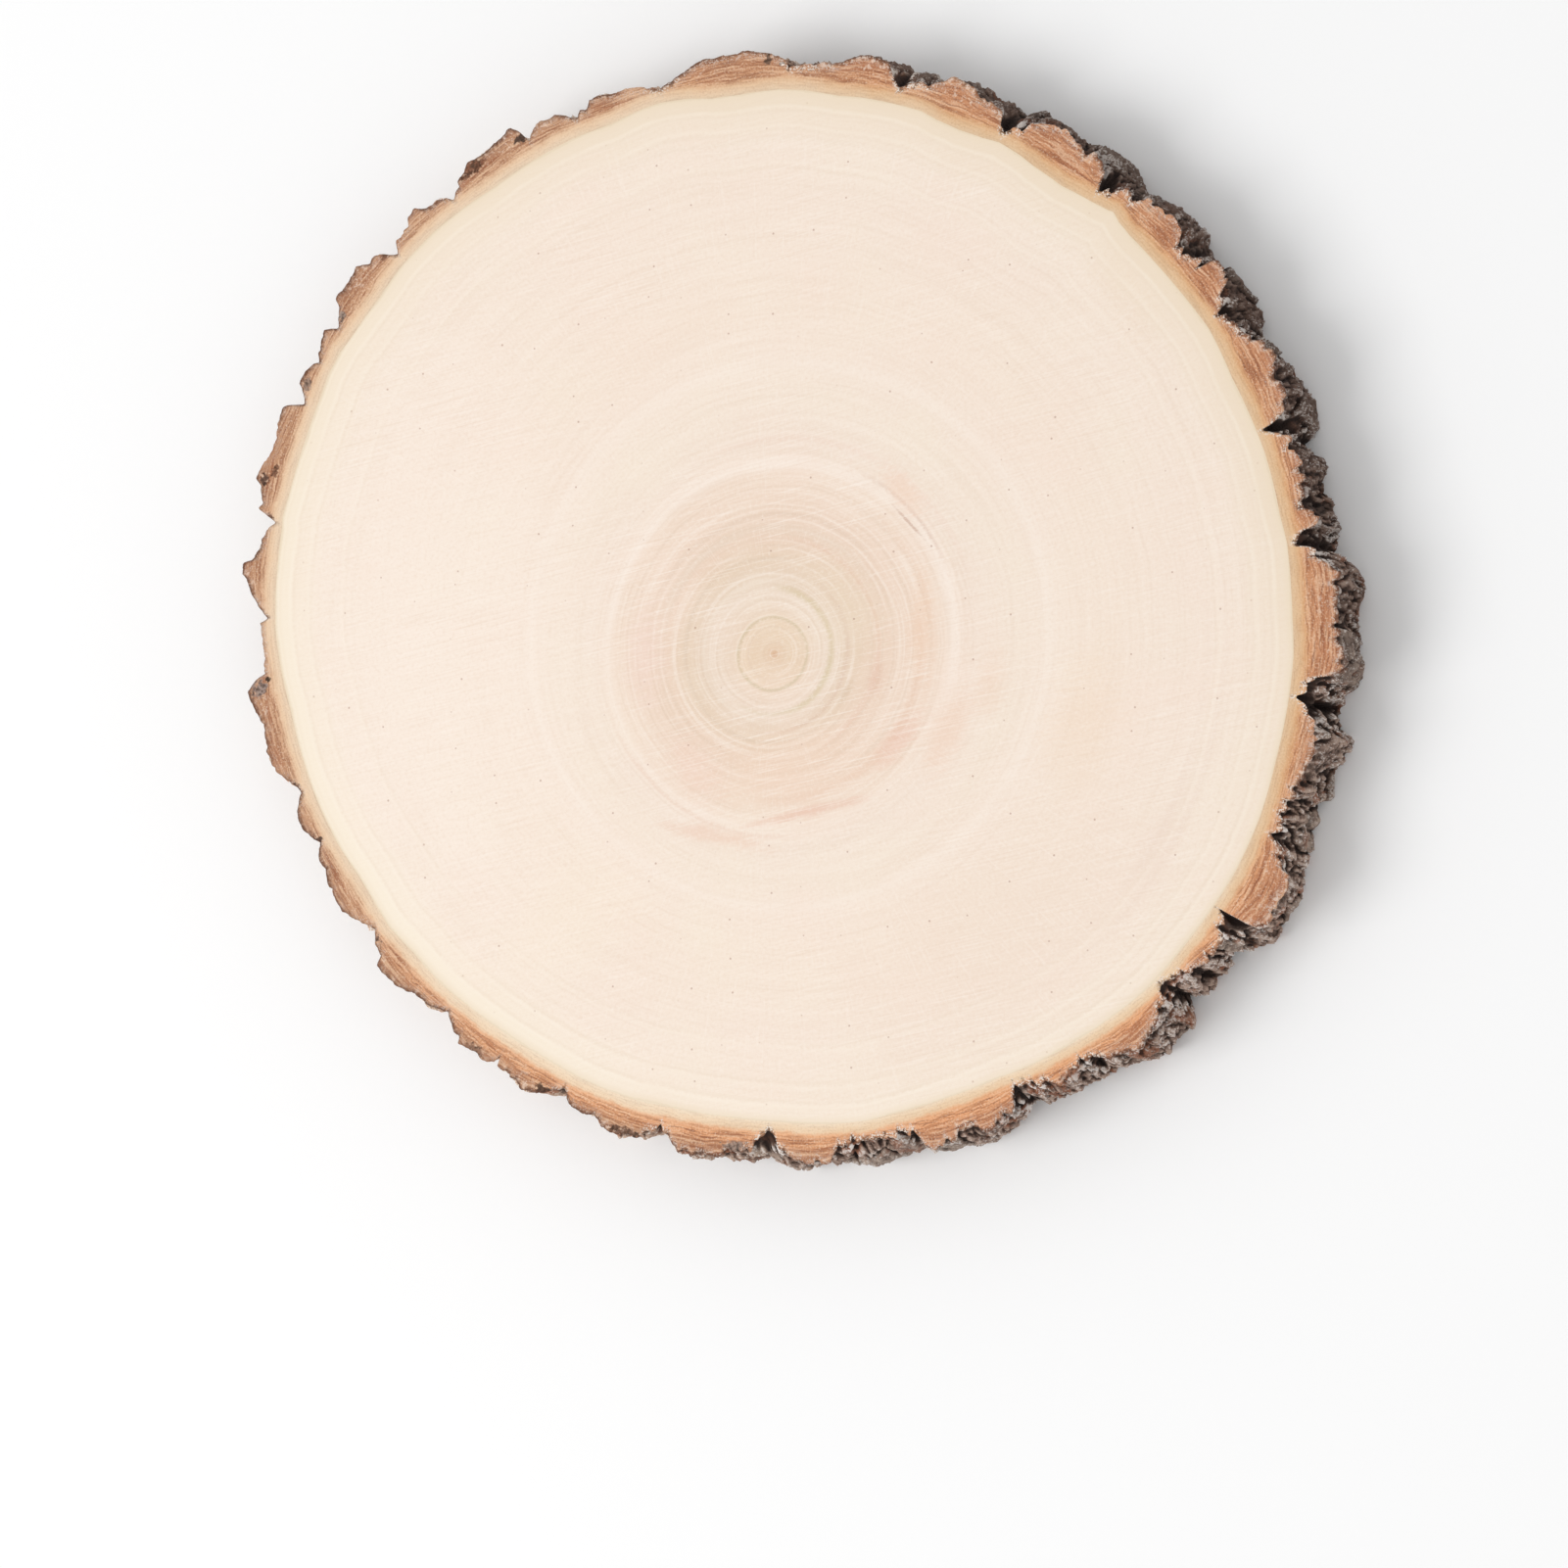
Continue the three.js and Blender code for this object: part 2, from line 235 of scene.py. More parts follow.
def barkSide(turns, height, notch):
    # Sideways and upward noise bends the grid first. Each layer of ridges is the size of a stretched
    # noise without its sign, so its tops are round and its valleys sharp. Some cells of the coarsest
    # grid are smooth plates instead, cracked across, but not where notch is 1, in the rough shape's
    # cracks. Those hold crumbs. Pockets and the long fissures are cut last.
    bend = side["bend"] * (noise(turns, height / 13, 52, 11) + 0.4 * noise(turns, height / 5, 180, 12))
    v = height + side["lift"] * noise(turns, height / 9, 70, 13)
    u = turns + bend / girth

    def ridges(wide, tall, seed):
        return noise(u, v / tall + 7.3, round(girth / wide), seed)

    ridge = ridges(side["ridgeWide"], side["ridgeTall"], 21)
    strand = ridges(side["strandWide"], side["strandTall"], 22)
    fibre = ridges(side["fibreWide"], side["fibreTall"], 23)
    relief = side["ridgeHigh"] * np.minimum(np.abs(ridge), 0.5) ** 0.8
    relief += side["strandHigh"] * np.minimum(np.abs(strand), 0.45) ** 0.9
    relief += side["fibreHigh"] * np.abs(fibre)
    torn = 0.5 * noise(turns, height / 1.6, round(girth / 1.9), 28) / girth
    edge, tone, rise = cells(u + torn, v / side["flakeTall"], round(girth / side["flakeWide"]), 29)
    relief += side["flakeStep"] * (tone - 0.5) + side["flakeTilt"] * rise * (tone * 13 % 1 - 0.5)
    relief -= side["flakeGap"] * np.exp(-(edge / 0.12) ** 2)

    edge, tone, rise = cells(u, v / side["plateTall"], round(girth / side["plateWide"]), 24)
    plate = ease(1 - side["plateShare"], 1 - side["plateShare"] + 0.03, tone) * ease(0.03, 0.1, edge)
    plate *= 1 - notch
    across = ridges(19, 3.2, 25)
    crack = plate * np.exp(-(across / 0.07) ** 2)
    level = side["plateProud"] + 0.7 * (tone * 17 % 1 - 0.4) + 1.1 * rise * (tone * 31 % 1 - 0.5)
    level += 0.35 * np.exp(-((edge - 0.13) / 0.06) ** 2) + 0.25 * ridge - 0.7 * crack
    relief += (level + np.percentile(relief, 50) - relief) * plate

    pocket = ease(0.32, 0.6, ridges(9, 9, 26)) * (1 - 0.7 * plate)
    relief -= side["pocketDeep"] * pocket + 0.9 * np.exp(-(edge / 0.07) ** 2) * ease(0.3, 0.6, tone)
    deep = np.zeros(turns.shape)
    for number, (upper, lower, depth, width) in enumerate(fissures):
        path = (lower + (upper - lower) * height / thickness) / 360 + bend * 0.7 / girth
        off = np.abs((turns - path + 0.5) % 1 - 0.5) * girth
        width = width * (1.15 + 0.9 * noise(turns, height / 6 + number * 3, 40, 31))
        depth = depth * (0.85 + 0.7 * noise(turns, height / 9 + number * 5, 40, 32))
        deep = np.maximum(deep, depth * np.exp(-(off / width) ** 1.3))
    relief -= deep + np.percentile(relief, 100 * side["below"])
    hold = ease(0, side["rimHold"], thickness - height) * ease(0, side["rimHold"], height)
    frayed = tornShare(turns)
    calm = hold + (1 - hold) * frayed
    relief *= side["rimShare"] * (0.45 + 0.55 * calm) * (1 - hold) + hold
    relief += side["chipHigh"] * calm * (ridges(side["chipWide"], side["chipTall"], 27) - plate * 0.2)
    relief += side["chipHigh"] * (0.3 + 0.7 * calm) * ridges(4.3, 4.5, 33)
    relief += side["crumbHigh"] * calm * notch * ridges(side["crumbWide"], side["crumbTall"], 37)
    bite = noise(turns, height / side["biteTall"], round(girth / side["biteWide"]), 34)
    relief += side["biteDeep"] * (0.12 - ease(0.1, 0.45, bite)) * (1 - hold) * frayed
    return relief, dict(notch=notch, plate=plate, crack=np.maximum(crack, pocket), tone=tone, deep=deep)


# The skin: rings of points from the middle of the upper face out, down the side, and back in

skin = dict(
    columns=2160, wallRows=34, rimRows=4, backRimRows=2,
    # Points in a ring, and its share of the way from the pith to the wood's edge
    topRings=[(135, 0.03), (135, 0.08), (270, 0.14), (270, 0.22), (540, 0.32), (540, 0.44), (1080, 0.58),
              (1080, 0.76), (2160, 0.93)],
    backRings=[(2160, 0.96), (1080, 0.8), (540, 0.6), (270, 0.4), (135, 0.2), (135, 0.08)],
    hollowWide=12, hollowTall=4, crestWide=3, crestTall=1,  # columns and rows that a point is compared with
    crumble=0.5,  # mm that the bark's sawn face sinks at most towards its rim
    lobeWide=15,  # columns to each side whose outermost one the bark's layers follow
    layersDeep=10.5,  # the bark's layers are counted from 0 at the wood to this at its outermost
)


def makeRings():
    # The wood's rings are the wood's edge drawn in towards the pith. The bark's go straight out from
    # the edge to the rim, and the side's are the rough shape plus its relief.
    columns = skin["columns"]
    turns = np.arange(columns) / columns
    wood = woodReach(turns)
    rings = []

    def add(kind, turns, x, y, z, part="bark", **more):
        rings.append(dict(kind=kind, part=part, turns=turns, x=x, y=y, z=z + 0 * turns, **more))

    def addRound(kind, turns, reach, z, **more):
        add(kind, turns, reach * np.cos(turns * fullTurn), reach * np.sin(turns * fullTurn), z, **more)

    def addWood(kind, count, share, z):
        ring = np.arange(count) / count
        x = woodReach(ring) * np.cos(ring * fullTurn)
        y = woodReach(ring) * np.sin(ring * fullTurn)
        add(kind, ring, pith[0] + share * (x - pith[0]), pith[1] + share * (y - pith[1]), z, part="wood")

    down = np.arange(skin["wallRows"] + 1) / skin["wallRows"]
    down = 0.65 * down + 0.35 * (1 - np.cos(np.pi * down)) / 2
    heights = thickness * (1 - down)[:, None] * np.ones(columns)
    around = np.ones(heights.shape) * turns
    torn = noise(around, heights / side["tearTall"], round(girth / side["tearWide"]), 35)
    torn += 0.5 * noise(around, heights / 1.5, round(girth / 1.6), 36)
    rough = cadReach(around + side["tear"] * tornShare(around) * torn / girth, heights)
    near = range(-skin["lobeWide"], skin["lobeWide"] + 1)
    lobes = np.maximum.reduce([np.roll(rough, step, axis=1) for step in near])
    relief, marks = barkSide(around, heights, ease(1.2, 3.4, lobes - rough))
    reach = np.maximum(rough + relief, wood + 1.5)
    marks["hollow"] = blurRound(reach, skin["hollowWide"], skin["hollowTall"]) - reach
    marks["crest"] = reach - blurRound(reach, skin["crestWide"], skin["crestTall"])
    sink = skin["crumble"] * (0.5 + noise(turns, 0 * turns + 0.4, 300, 41))

    add("top", np.zeros(1), pith[:1], pith[1:], thickness, part="wood")
    for count, share in skin["topRings"]:
        addWood("top", count, share, thickness)
    for share in np.arange(skin["rimRows"]) / skin["rimRows"]:
        addRound("top", turns, wood + (reach[0] - wood) * share ** 0.85, thickness - sink * ease(0.6, 1.3, share))
    heights[0] -= sink * ease(0.6, 1.3, 1)
    for row in range(skin["wallRows"] + 1):
        addRound("side", turns, reach[row], heights[row], **{name: mark[row] for name, mark in marks.items()})
    for share in np.arange(skin["backRimRows"])[::-1] / skin["backRimRows"]:
        addRound("back", turns, wood + (reach[-1] - wood) * share, 0)
    for count, share in skin["backRings"]:
        addWood("back", count, share, 0)
    add("back", np.zeros(1), pith[:1], pith[1:], 0, part="wood")
    return rings, reach[0], reach[-1]


def stitch(upper, lower, counts):
    # Corners are [ring, column]. Rings alike give squares, one point gives a fan, and where a ring has
    # twice the other's points, three triangles fill each of the wide gaps.
    above, below = counts[upper], counts[lower]
    i = np.arange(min(above, below) if min(above, below) > 1 else max(above, below))
    one = np.ones(len(i), int)
    if above == below:
        corners = [[upper * one, i, lower * one, i, lower * one, i + 1, upper * one, i + 1]]
    elif above == 1:
        corners = [[upper * one, 0 * i, lower * one, i, lower * one, i + 1]]
    elif below == 1:
        corners = [[upper * one, i, lower * one, 0 * i, upper * one, i + 1]]
    else:
        few, many = (upper * one, lower * one) if above < below else (lower * one, upper * one)
        corners = [
            [many, 2 * i, many, 2 * i + 1, few, i],
            [many, 2 * i + 1, few, i + 1, few, i],
            [many, 2 * i + 1, many, 2 * i + 2, few, i + 1],
        ]
    blocks = [np.stack(block, 1).reshape(len(i), -1, 2) for block in corners]
    return [block[:, ::-1] for block in blocks] if above > below > 1 else blocks


rings, upperRim, lowerRim = makeRings()
print("skin worked out:", len(rings), "rings")


def gather(name):
    # One array over all the rings' points. A mark that only the side has is 0 elsewhere.
    return np.concatenate([ring.get(name, 0 * ring["turns"]) for ring in rings])


# How the faces are spread out for an image of this many pixels a side
spread = dict(size=1024, topWide=692, backWide=312, strips=3, stripHigh=103, gap=4)


def spreadOut(kind, ring, column, counts, x, y, z):
    # Each sawn face is drawn to scale in its own corner. The side is cut into strips, each drawn
    # flat, with the turn across and the height up.
    size, gap = spread["size"], spread["gap"]
    if kind == "side":
        turn = column / counts[ring] * spread["strips"]
        strip = np.floor(turn.min(axis=1, keepdims=True))
        u = gap + (turn - strip) * (size - 2 * gap)
        v = gap + strip * (spread["stripHigh"] + gap) + z / thickness * spread["stripHigh"]
    else:
        wide = spread["topWide"] if kind == "top" else spread["backWide"]
        scale = wide / (cadHigh.x - cadLow.x) * mm
        across = gap + wide / 2 if kind == "top" else size - gap - wide / 2
        u, v = across + x * scale, size - gap - wide / 2 + y * scale
    return np.stack([u, v], -1) / size


def makeSkin():
    counts = np.array([len(ring["turns"]) for ring in rings])
    starts = np.concatenate([[0], np.cumsum(counts)[:-1]])
    x, y, z = gather("x"), gather("y"), gather("z")
    faces, uvs, materials = [], [], []
    for upper in range(len(rings) - 1):
        kinds = rings[upper]["kind"], rings[upper + 1]["kind"]
        kind = "side" if kinds == ("side", "side") else "back" if "back" in kinds else "top"
        cut = "wood" in (rings[upper]["part"], rings[upper + 1]["part"])
        for corners in stitch(upper, upper + 1, counts):
            ring, column = corners[..., 0], corners[..., 1]
            ids = starts[ring] + column % counts[ring]
            faces += ids.tolist()
            uvs.append(spreadOut(kind, ring, column, counts, x[ids], y[ids], z[ids]).reshape(-1, 2))
            materials.append(np.full(len(ids), 2 if kind == "side" else 0 if cut else 1))
    mesh = bpy.data.meshes.new("log_slice")
    points = np.stack([x + logMiddle[0], y + logMiddle[1], z], 1) * mm
    mesh.from_pydata(points.tolist(), [], faces)
    layer = mesh.uv_layers.new(name="OFBake")
    layer.data.foreach_set("uv", np.concatenate(uvs).astype(np.float32).ravel())
    mesh.polygons.foreach_set("material_index", np.concatenate(materials).astype(np.int32))
    mesh.polygons.foreach_set("use_smooth", np.ones(len(faces), bool))
    mesh.set_sharp_from_angle(angle=np.radians(55))

    turns, reach = np.arctan2(y, x) / fullTurn % 1, np.hypot(x, y)
    depth = reach - woodReach(turns)
    columns = np.arange(skin["columns"]) / skin["columns"]
    near = range(-skin["lobeWide"], skin["lobeWide"] + 1)
    rim, lobe = np.empty(turns.shape), np.empty(turns.shape)
    for half, edge in ((z > thickness / 2, upperRim), (z <= thickness / 2, lowerRim)):
        lobes = blurRound(np.maximum.reduce([np.roll(edge, step) for step in near])[None], 24, 0)[0]
        rim[half] = np.interp(turns[half], columns, edge, period=1)
        lobe[half] = np.interp(turns[half], columns, lobes - woodReach(columns), period=1)
    marks = dict(
        ring=ringAt(x, y), depth=depth, layer=np.where(depth > 0, depth / lobe * skin["layersDeep"], depth),
        rimGap=rim - reach,
        **{name: gather(name) for name in ("notch", "plate", "crack", "tone", "deep", "hollow", "crest")},
    )
    for name, values in marks.items():
        mesh.attributes.new(name, "FLOAT", "POINT").data.foreach_set("value", values.astype(np.float32))
    along = np.stack([np.cos(turns * fullTurn) * girth / fullTurn, np.sin(turns * fullTurn) * girth / fullTurn,
                      marks["layer"]], 1)
    mesh.attributes.new("along", "FLOAT_VECTOR", "POINT").data.foreach_set(
        "vector", along.astype(np.float32).ravel())
    piece = bpy.data.objects.new("log_slice", mesh)
    bpy.context.scene.collection.objects.link(piece)
    triangles = sum(len(face) - 2 for face in faces)
    print("skin made:", len(points), "points,", triangles, "triangles")
    return piece


# Materials

class Wire:
    # A socket in a material's tree. Sums, products and the like of wires add Math nodes.
    def __init__(self, tree, socket=None):
        self.tree = tree
        self.socket = socket

    def node(self, kind, settings, values, out=0):
        # Settings first, then each socket's value or link. Gives the output asked for.
        made = self.tree.nodes.new("ShaderNode" + kind)
        for name, setting in settings.items():
            if name == "stops":
                fillRamp(made.color_ramp, setting)
            else:
                setattr(made, name, setting)
        for name, value in values.items():
            if isinstance(value, Wire):
                self.tree.links.new(value.socket, made.inputs[name])
            else:
                made.inputs[name].default_value = value
        return Wire(self.tree, made.outputs[out])

    def math(self, operation, *values):
        return self.node("Math", {"operation": operation}, dict(enumerate(values)))

    def __add__(self, other):
        return self.math("ADD", self, other)

    def __radd__(self, other):
        return self.math("ADD", other, self)

    def __sub__(self, other):
        return self.math("SUBTRACT", self, other)

    def __rsub__(self, other):
        return self.math("SUBTRACT", other, self)

    def __mul__(self, other):
        return self.math("MULTIPLY", self, other)

    def __rmul__(self, other):
        return self.math("MULTIPLY", other, self)

    def __truediv__(self, other):
        return self.math("DIVIDE", self, other)

    def __abs__(self):
        return self.math("ABSOLUTE", self)


def fillRamp(ramp, stops):
    # The stops run from 0 to 1.
    ramp.elements[0].color = stops[0][1]
    ramp.elements[1].color = stops[-1][1]
    for position, colour in stops[1:-1]:
        ramp.elements.new(position).color = colour


def rgb(*levels):
    # Screen levels from 0 to 255, made linear: ((c + 0.055) / 1.055)^2.4, or c / 12.92 when dark.
    shares = [level / 255 for level in levels]
    return tuple(c / 12.92 if c < 0.04045 else ((c + 0.055) / 1.055) ** 2.4 for c in shares) + (1.0,)


def mark(tree, name):
    # A number that the skin carries at each of its points.
    return tree.node("Attribute", {"attribute_name": name}, {}, out=2)


def fade(value, low, high):
    # Eases from 0 at low to 1 at high. High may be the smaller one.
    return value.node("MapRange", {"interpolation_type": "SMOOTHSTEP"}, {
        "Value": value, "From Min": low, "From Max": high})


def mix(factor, colour, other):
    return factor.node("Mix", {"data_type": "RGBA"}, {0: factor, 6: colour, 7: other}, out=2)


def blot(vector, size, detail=2.0, roughness=0.5):
    # Soft random blots of a size in mm, or of a size along each axis, from 0 to 1.
    sizes = size if isinstance(size, tuple) else (size, size, size)
    scaled = vector.node("VectorMath", {"operation": "DIVIDE"}, {0: vector, 1: sizes})
    return scaled.node("TexNoise", {}, {
        "Vector": scaled, "Scale": 1.0, "Detail": detail, "Roughness": roughness})


def rampOver(value, span, stops):
    # A colour for each value in mm from 0 to span.
    return value.node("ValToRGB", {"stops": [(at / span, rgb(*colour)) for at, colour in stops]}, {
        0: value / span})


def within(vector, place, turn, sizes):
    # How far out of a turned oval a place is, 1 on its edge.
    inside = vector.node("Mapping", {"vector_type": "TEXTURE"}, {
        "Vector": vector, "Location": place, "Rotation": (0, 0, turn), "Scale": sizes})
    return inside.node("VectorMath", {"operation": "LENGTH"}, {0: inside}, out=1)


def newMaterial(name):
    material = bpy.data.materials.new(name)
    material.use_nodes = True
    for node in list(material.node_tree.nodes):
        if node.type != "OUTPUT_MATERIAL":
            material.node_tree.nodes.remove(node)
    tree = Wire(material.node_tree)
    at = tree.node("TexCoord", {}, {}, out=3)
    place = at.node("VectorMath", {"operation": "SCALE"}, {0: at, "Scale": 1 / mm})
    return material, tree, place


def finish(material, tree, colour, roughness, height, bump, bumpDeep, gloss):
    normal = tree.node("Bump", {}, {"Strength": bump, "Distance": bumpDeep * mm, "Height": height})
    shader = tree.node("BsdfPrincipled", {}, {
        "Base Color": colour, "Roughness": roughness, "Specular IOR Level": gloss, "Normal": normal})
    output = next(node for node in material.node_tree.nodes if node.type == "OUTPUT_MATERIAL")
    material.node_tree.links.new(shader.socket, output.inputs["Surface"])
    return material


wood = dict(
    # The face's own colour from the pith outwards: mm, screen levels
    base=[(0, (212, 166, 128)), (0.9, (224, 190, 158)), (1.8, (230, 202, 174)), (4, (231, 205, 177)),
          (9, (235, 211, 185)), (11, (236, 214, 193)), (16, (237, 218, 200)), (19, (232, 211, 190)),
          (24, (231, 208, 184)), (29, (235, 209, 188)), (36, (238, 214, 195)), (44, (241, 220, 202)),
          (49, (244, 225, 209)), (53, (243, 226, 211)), (64, (244, 228, 212)), (73, (245, 228, 213)),
          (86, (245, 228, 212)), (112, (245, 228, 213)), (128, (245, 229, 213)), (145, (246, 231, 214))],
    # Rings that show as lines: mm, half width, colour, strength, and the arc's middle and half reach
    lines=[(9.6, 0.4, (202, 184, 148), 0.6, 200, 180), (17.0, 0.8, (211, 192, 150), 0.6, 5, 78),
           (16.4, 0.6, (216, 198, 166), 0.5, 300, 60), (18.6, 0.5, (244, 230, 214), 0.5, 180, 90),
           (21.8, 0.5, (214, 182, 158), 0.5, 340, 75), (24.2, 0.5, (220, 198, 176), 0.5, 190, 110),
           (29.4, 0.6, (224, 184, 158), 0.45, 10, 65), (35.2, 0.6, (226, 202, 182), 0.5, 100, 50),
           (31.8, 1.4, (228, 208, 188), 0.45, 95, 60), (40.2, 1.2, (234, 198, 174), 0.4, 315, 45),
           (43, 0.8, (236, 206, 184), 0.4, 12, 30), (49.7, 0.4, (204, 166, 144), 0.6, 44, 5),
           (48.4, 1.6, (250, 238, 227), 0.5, 82, 95), (48.8, 1.2, (249, 237, 225), 0.3, 250, 80),
           (50.8, 0.6, (234, 206, 188), 0.45, 240, 32),
           (54, 0.8, (240, 215, 199), 0.4, 65, 40), (57, 0.7, (240, 222, 205), 0.35, 150, 120),
           (72, 1.6, (250, 238, 226), 0.35, 90, 180), (95, 1.0, (242, 225, 209), 0.35, 185, 70),
           (118, 0.8, (240, 222, 205), 0.4, 170, 60), (127, 0.6, (240, 224, 206), 0.4, 105, 45),
           (115, 0.8, (240, 222, 207), 0.4, 328, 30), (120, 0.6, (240, 222, 207), 0.4, 325, 28)],
    # Stains, then a broad painted shade and a broad painted light: mm from the pith, half sizes, degrees that the
    # first half size is turned, colour, strength
    stainsAndPaintedLight=[(28, -7, 5, 2, 80, (226, 188, 166), 0.5), (34, -23.5, 10, 3.5, 48, (234, 190, 170), 0.55),
            (40.5, 6, 15, 3.5, 88, (238, 204, 178), 0.55), (9.3, -41.5, 19, 1.4, 12, (230, 182, 160), 0.5),
            (-17.5, -47.3, 17, 2.2, -12, (236, 200, 178), 0.5), (37, 33.5, 6, 0.4, -47, (196, 160, 140), 0.65),
            (36, 41, 8, 3.5, -50, (241, 208, 186), 0.5), (19.5, -10.5, 4, 1.4, 60, (212, 186, 158), 0.5),
            (-36, 0, 13, 6, 90, (242, 214, 201), 0.5), (-22, -30, 10, 6, 130, (240, 208, 190), 0.5),
            (59, -9.6, 9, 4, 80, (240, 212, 190), 0.45), (84, -18.6, 18, 11, 75, (242, 218, 195), 0.45),
            (105, -50, 22, 5, 64, (237, 215, 200), 0.4), (48, -22, 12, 5, 60, (240, 208, 186), 0.5),
            (6, -30, 24, 10, 8, (240, 212, 190), 0.5), (20, 12, 14, 9, 120, (234, 214, 190), 0.5),
            (96, 92, 16, 8, 120, (242, 224, 203), 0.4), (-60, -70, 26, 14, 30, (247, 232, 213), 0.4),
            # The last two are a broad painted shade to the lower right and a broad painted light to the left.
            (60, -76, 52, 24, 38, (241, 222, 205), 0.6), (-98, 4, 92, 44, 90, (249, 235, 222), 0.6)],
    sawSlant=12,  # degrees
    paleSide=230, plainSide=300,  # degrees, where the youngest wood is palest, and where it hardly shows
    sawFine=0.5, sawLong=22, tornFine=1.0, tornLong=8,  # mm
    poreSpace=11, poreWide=0.22,  # mm
)


def sawStreaks(flat, long, fine, detail):
    slanted = flat.node("Mapping", {"vector_type": "TEXTURE"}, {
        "Vector": flat, "Rotation": (0, 0, np.radians(wood["sawSlant"])), "Scale": (long, fine, 1)})
    return blot(slanted, 1.0, detail=detail, roughness=0.65)


def sawnWood():
    # The base ramp, then lines, stains with a broad painted shade and painted light, saw marks, rays and pores,
    # each mixed over what is there.
    material, tree, place = newMaterial("sawnWood")
    ring, depth = mark(tree, "ring"), mark(tree, "depth")
    flat = place.node("VectorMath", {"operation": "SUBTRACT"}, {
        0: place, 1: (pith[0] + logMiddle[0], pith[1] + logMiddle[1], thickness)})
    level = flat.node("VectorMath", {"operation": "MULTIPLY"}, {0: flat, 1: (1, 1, 0)})
    way = level.node("VectorMath", {"operation": "NORMALIZE"}, {0: level})
    wobble = blot(flat, 14) - 0.5
    fine = blot(flat, 0.9) - 0.5
    waved = ring + wobble * 1.2
    colour = rampOver(waved, 145, wood["base"])

    grown = flat.node("CombineXYZ", {}, {
        0: flat.node("SeparateXYZ", {}, {0: flat}) / 60,
        1: flat.node("SeparateXYZ", {}, {0: flat}, out=1) / 60, 2: waved / 2.6})
    bands = blot(grown, 1.0, detail=3, roughness=0.65)
    colour = mix(fade(bands, 0.5, 0.8) * 0.3, colour, rgb(236, 215, 196))
    colour = mix(fade(bands, 0.5, 0.2) * 0.35, colour, rgb(251, 238, 225))
    hair = grown.node("VectorMath", {"operation": "MULTIPLY"}, {0: grown, 1: (1.5, 1.5, 3.1)})
    hairs = blot(hair, 1.0, detail=1)
    heart = fade(ring, 60, 36)
    colour = mix(fade(hairs, 0.5, 0.72) * (0.1 + 0.3 * heart), colour, rgb(222, 198, 176))
    colour = mix(fade(hairs, 0.48, 0.28) * (0.1 + 0.3 * heart), colour, rgb(250, 238, 226))
    cloud = blot(flat, 34)
    colour = mix(fade(cloud, 0.45, 0.8) * 0.45, colour, rgb(246, 225, 210))
    colour = mix(fade(cloud, 0.5, 0.2) * 0.45, colour, rgb(246, 233, 215))

    whole = fade(wobble + fine * 0.6, -0.45, 0.1)
    for radius, half, tint, strength, middle, reach in wood["lines"]:
        line = fade(abs(waved - radius + fine * 0.9), half * 1.8, 0.0)
        if reach < 180:
            toward = (np.cos(np.radians(middle)), np.sin(np.radians(middle)), 0)
            facing = way.node("VectorMath", {"operation": "DOT_PRODUCT"}, {0: way, 1: toward}, out=1)
            ends = np.cos(np.radians([min(reach + 16, 179), max(reach - 16, 1)]))
            line = line * fade(facing, ends[0], ends[1])
        colour = mix(line * whole * strength, colour, rgb(*tint))

    saw = sawStreaks(flat, wood["sawLong"], wood["sawFine"], 2)
    torn = sawStreaks(flat, wood["tornLong"], wood["tornFine"], 2) - 0.5
    # Stains, and at the end of the list a broad painted shade and painted light
    for x, y, long, wide, turn, tint, strength in wood["stainsAndPaintedLight"]:
        away = within(flat, (x, y, 0), np.radians(turn), (long, wide, 60))
        colour = mix(fade(away + torn * 1.7 + wobble * 0.8, 1.35, 0.2) * strength, colour, rgb(*tint))

    where = fade(blot(flat, 40, detail=1) + wobble * 0.3, 0.35, 0.7) * 0.5 + heart * 0.35
    colour = mix(fade(saw, 0.5, 0.72) * (0.17 + where * 0.55), colour, rgb(252, 241, 230))
    colour = mix(fade(saw, 0.48, 0.28) * (0.12 + where * 0.45), colour, rgb(233, 210, 190))

    spokes = way.node("VectorMath", {"operation": "SCALE"}, {0: way, "Scale": 200.0})
    outward = flat.node("CombineXYZ", {}, {2: ring / 12})
    rays = blot(spokes.node("VectorMath", {"operation": "ADD"}, {0: spokes, 1: outward}), 1.0, detail=1)
    colour = mix(fade(rays, 0.55, 0.75) * 0.25, colour, rgb(251, 239, 227))
    colour = mix(fade(fine, 0.0, 0.25) * 0.25, colour, rgb(232, 208, 188))
    colour = mix(fade(fine, 0.0, -0.25) * 0.25, colour, rgb(253, 242, 231))

    pores = flat.node("VectorMath", {"operation": "SCALE"}, {0: flat, "Scale": 1 / wood["poreSpace"]})
    near, own = (pores.node("TexVoronoi", {"voronoi_dimensions": "2D"}, {"Vector": pores, "Scale": 1.0}, out=out)
                 for out in ("Distance", "Color"))
    pick = own.node("SeparateColor", {}, {0: own})
    size = wood["poreWide"] / wood["poreSpace"] * (0.4 + pick)
    colour = mix(fade(near / size, 1.3, 0.6) * fade(pick, 0.35, 0.9) * 0.5, colour, rgb(160, 116, 98))

